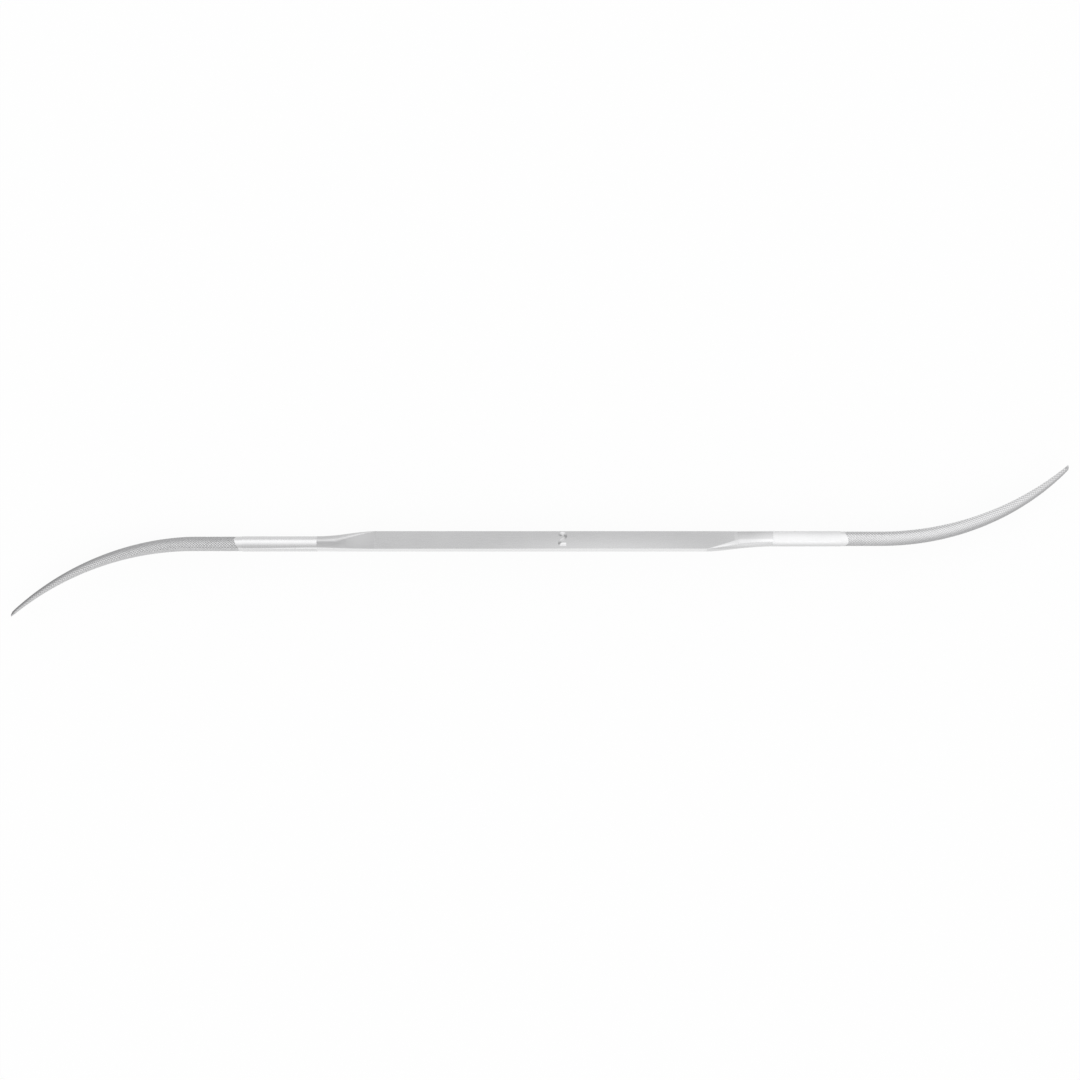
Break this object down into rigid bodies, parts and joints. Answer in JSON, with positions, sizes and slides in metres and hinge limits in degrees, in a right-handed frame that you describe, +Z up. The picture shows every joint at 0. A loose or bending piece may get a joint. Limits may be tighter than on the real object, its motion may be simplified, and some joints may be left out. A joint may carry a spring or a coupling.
{
  "type": "riffler file",
  "caption": "Double-ended half-round riffler file: a rectangular steel bar runs through ground necks into toothed, tapered ends bent to an S, for filing in hollows.",
  "frame": {"origin": "middle of the bar's lower side face, on which the file lies", "axes": "+X along the bar towards the end that bends to +Y, +Y across the bar in the plane of the bends, +Z up"},
  "size_m": [0.1799, 0.0258, 0.0048],
  "materials": {
    "bar_steel": "satin, fine lengthwise grain",
    "ground_steel": "bright ground",
    "cut_steel": "matt grey, cut with fine teeth"
  },
  "bodies": {
    "root": {"handle_bar": "bar_steel", "left_shoulder": "bar_steel", "right_shoulder": "bar_steel", "left_neck": "ground_steel", "right_neck": "ground_steel", "left_cut_end": "cut_steel", "right_cut_end": "cut_steel"}
  },
  "joints": []
}
